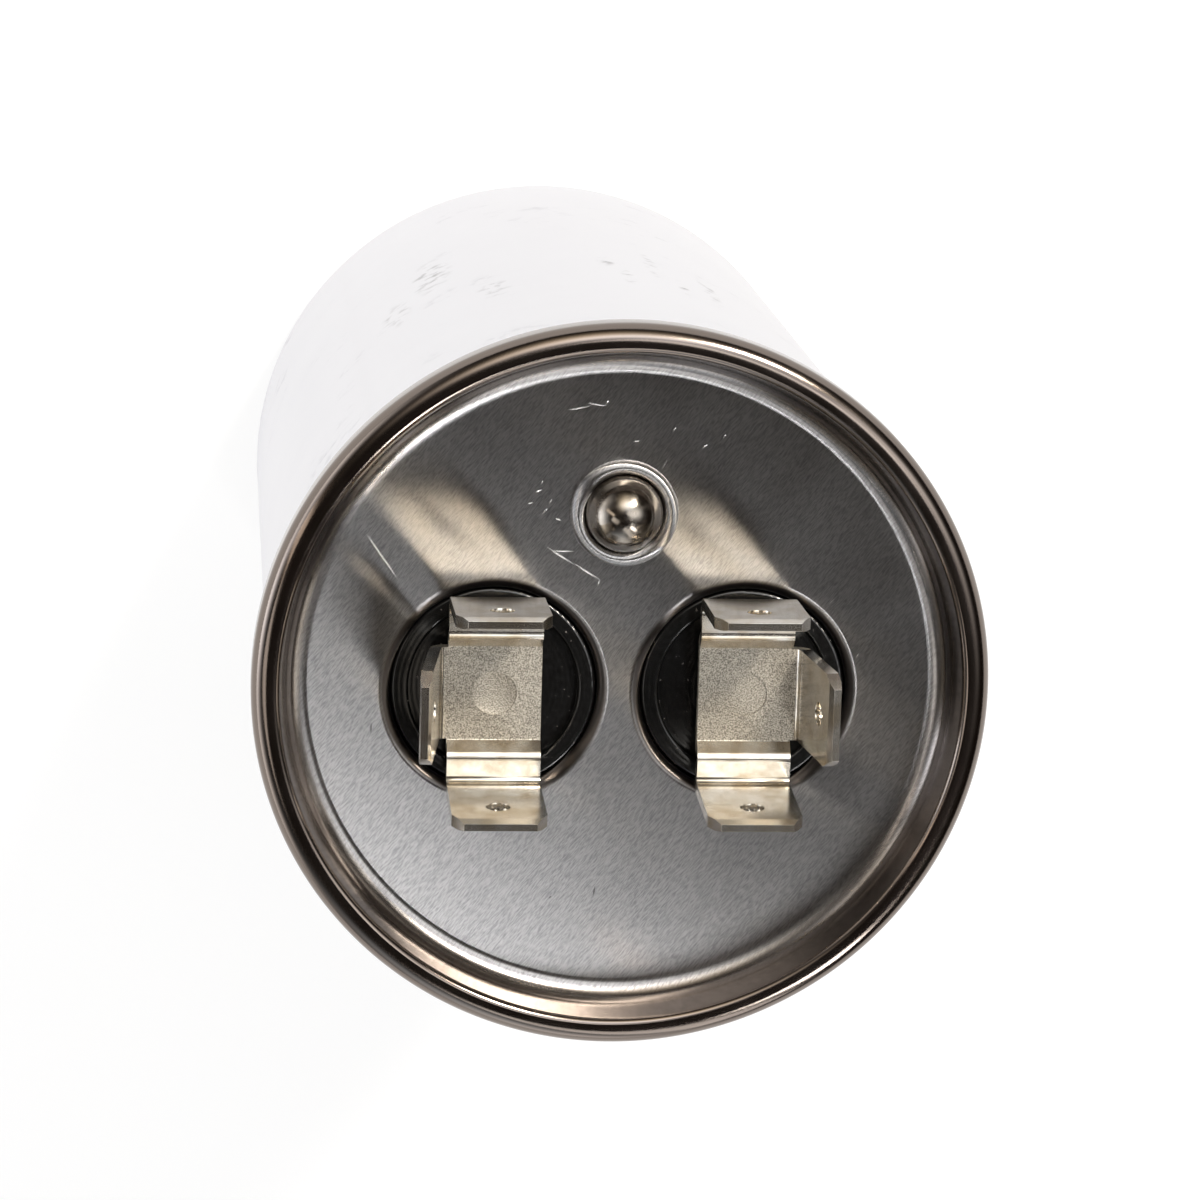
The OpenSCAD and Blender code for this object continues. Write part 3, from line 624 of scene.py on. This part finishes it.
# room, floor and camera
studio = {
    "floorSize": 3.0,          # m
    "floor": "F4F4F4",
    "floorGlow": 1.05,         # strength of the white that the camera and metal see in the floor
    "floorShare": 0.8,         # share of that white, the rest is paper and takes the shadow
    "slant": 232,              # degrees, azimuth towards which a pane's lean is counted
    "room": "2A2420",          # walls and ceiling of a dim room
    "backdropTop": 5,          # degrees over the horizon that metal still shows white
    # windows as panes: lean from and to, turn from and to in degrees, strength, tint
    "panes": [(11.5, 16, 30, 52, 19.5, "FFFFFF"), (15, 22, -60, -30, 2.0, "FFF0E0"),
              (-20, -8, -5, 20, 2.4, "FFFFFF"), (22, 35, -30, -5, 1.5, "FFFAF4"),
              (22, 35, 20, 70, 1.8, "FFFFFF")],
    # lamps and pale walls as soft glows: angle from +Z, azimuth, spread in degrees, strength, tint
    "glows": [(34, 75, 9, 3.6, "ECF4FF"), (34, 105, 9, 1.9, "FFF6E8"), (34, 15, 9, 2.2, "FFFFFF"),
              (48, 90, 11, 1.4, "FFEED0"), (82, 180, 12, 4.1, "F4F8FF"), (82, 150, 12, 2.1, "FFFFFF"),
              (82, 210, 12, 2.0, "FFFFFF"), (64, 255, 12, 0.9, "E8F4FF"), (82, 270, 12, 1.6, "FFFFFF"),
              (46, 57, 2.5, 300.0, "FFF6E8")],
}


def makeFloor():
    mesh = bpy.data.meshes.new("studioFloor")
    work = bmesh.new()
    bmesh.ops.create_grid(work, x_segments=1, y_segments=1, size=studio["floorSize"] / 2)
    work.to_mesh(mesh)
    work.free()
    floor = bpy.data.objects.new("studioFloor", mesh)
    bpy.context.scene.collection.objects.link(floor)
    material, tree, place = newMaterial("paperFloor")
    path = addNode(tree, "ShaderNodeLightPath")
    seen = addNode(tree, "ShaderNodeMath", {"operation": "MAXIMUM"},
                   {0: path.outputs["Is Camera Ray"], 1: path.outputs["Is Glossy Ray"]})
    seenAll = addNode(tree, "ShaderNodeMath", {"operation": "MAXIMUM"},
                      {0: seen.outputs[0], 1: path.outputs["Is Transmission Ray"]})
    share = addNode(tree, "ShaderNodeMath", {"operation": "MULTIPLY", 1: studio["floorShare"]},
                    {0: seenAll.outputs[0]})
    paper = addNode(tree, "ShaderNodeBsdfDiffuse", {"Color": hexColour(studio["floor"])})
    glow = addNode(tree, "ShaderNodeEmission", {"Color": (1, 1, 1, 1), "Strength": studio["floorGlow"]})
    mixed = addNode(tree, "ShaderNodeMixShader",
                    links={0: share.outputs[0], 1: paper.outputs[0], 2: glow.outputs[0]})
    closeMaterial(tree, mixed)
    mesh.materials.append(material)


def paneLevel(tree, lean, turn, pane):
    # 1 inside a four-sided window of the sky
    leanFrom, leanTo, turnFrom, turnTo = (math.radians(angle) for angle in pane)
    inside = [addNode(tree, "ShaderNodeMath",
                      {"operation": "COMPARE", 1: (start + end) / 2, 2: (end - start) / 2},
                      {0: value}).outputs[0]
              for value, start, end in ((lean, math.sin(leanFrom), math.sin(leanTo)),
                                        (turn, turnFrom, turnTo))]
    return addNode(tree, "ShaderNodeMath", {"operation": "MULTIPLY"},
                   {0: inside[0], 1: inside[1]}).outputs[0]


def glowLevel(tree, direction, zenith, azimuth, spread):
    # 1 in the middle of a round glow, falling off as a bell curve
    aim = Vector((0, 0, 1))
    aim.rotate(Euler((0, math.radians(zenith), math.radians(azimuth))))
    facing = addNode(tree, "ShaderNodeVectorMath", {"operation": "DOT_PRODUCT", 1: aim},
                     {0: direction})
    steepness = 1 / math.radians(spread) ** 2
    power = addNode(tree, "ShaderNodeMath",
                    {"operation": "MULTIPLY_ADD", 1: steepness, 2: -steepness},
                    {0: facing.outputs["Value"]})
    return addNode(tree, "ShaderNodeMath", {"operation": "EXPONENT"},
                   {0: power.outputs[0]}).outputs[0]


def makeWorld():
    # a dim warm room lit by windows and lamps, which the camera itself sees as plain white
    world = bpy.data.worlds.new("litRoom")
    bpy.context.scene.world = world
    world.use_nodes = True
    tree = world.node_tree
    tree.nodes.clear()
    direction = addNode(tree, "ShaderNodeTexCoord").outputs["Generated"]
    slant = math.radians(studio["slant"])
    axes = ((math.cos(slant), math.sin(slant), 0), (-math.sin(slant), math.cos(slant), 0), (0, 0, 1))
    lean, side, up = (addNode(tree, "ShaderNodeVectorMath", {"operation": "DOT_PRODUCT", 1: axis},
                              {0: direction}).outputs["Value"] for axis in axes)
    turn = addNode(tree, "ShaderNodeMath", {"operation": "ARCTAN2"}, {0: side, 1: up}).outputs[0]
    levels = [(paneLevel(tree, lean, turn, pane), strength, tint)
              for *pane, strength, tint in studio["panes"]]
    levels += [(glowLevel(tree, direction, *glow), strength, tint)
               for *glow, strength, tint in studio["glows"]]
    room = hexColour(studio["room"])
    total = addNode(tree, "ShaderNodeCombineXYZ", {"X": room[0], "Y": room[1], "Z": room[2]}).outputs[0]
    for level, strength, tint in levels:
        colour = [part * strength for part in hexColour(tint)[:3]]
        lit = addNode(tree, "ShaderNodeVectorMath", {"operation": "SCALE", 0: colour}, {"Scale": level})
        total = addNode(tree, "ShaderNodeVectorMath", {"operation": "ADD"},
                        {0: total, 1: lit.outputs[0]}).outputs[0]
    path = addNode(tree, "ShaderNodeLightPath").outputs
    low = addNode(tree, "ShaderNodeMath",
                  {"operation": "LESS_THAN", 1: math.sin(math.radians(studio["backdropTop"]))},
                  {0: up})
    reflected = addNode(tree, "ShaderNodeMath", {"operation": "MULTIPLY"},
                        {0: path["Is Glossy Ray"], 1: low.outputs[0]})
    direct = addNode(tree, "ShaderNodeMath", {"operation": "MAXIMUM"},
                     {0: path["Is Camera Ray"], 1: path["Is Transmission Ray"]})
    white = addNode(tree, "ShaderNodeMath", {"operation": "MAXIMUM"},
                    {0: direct.outputs[0], 1: reflected.outputs[0]})
    seen = addNode(tree, "ShaderNodeMix", {"data_type": "RGBA", 7: (1, 1, 1, 1)},
                   {0: white.outputs[0], 6: total})
    sky = addNode(tree, "ShaderNodeBackground", links={"Color": seen.outputs[2]})
    addNode(tree, "ShaderNodeOutputWorld", links={"Surface": sky.outputs[0]})


makeFloor()
makeWorld()

# place in mm, turn in degrees, lens and sensor in mm
view = {"location": (-27.67, 68.56, 353.18), "turn": (-13.01, -5.08, 1.63), "lens": 125.9, "sensor": 36}
camera = bpy.data.objects.new("camera", bpy.data.cameras.new("camera"))
camera.data.lens = view["lens"]
camera.data.sensor_width = view["sensor"]
camera.data.clip_start = 0.01
camera.location = Vector(view["location"]) * mm
camera.rotation_euler = Euler([math.radians(a) for a in view["turn"]], "XYZ")
bpy.context.scene.collection.objects.link(camera)
bpy.context.scene.camera = camera
bpy.context.scene.view_settings.view_transform = "Standard"
print("stage set")
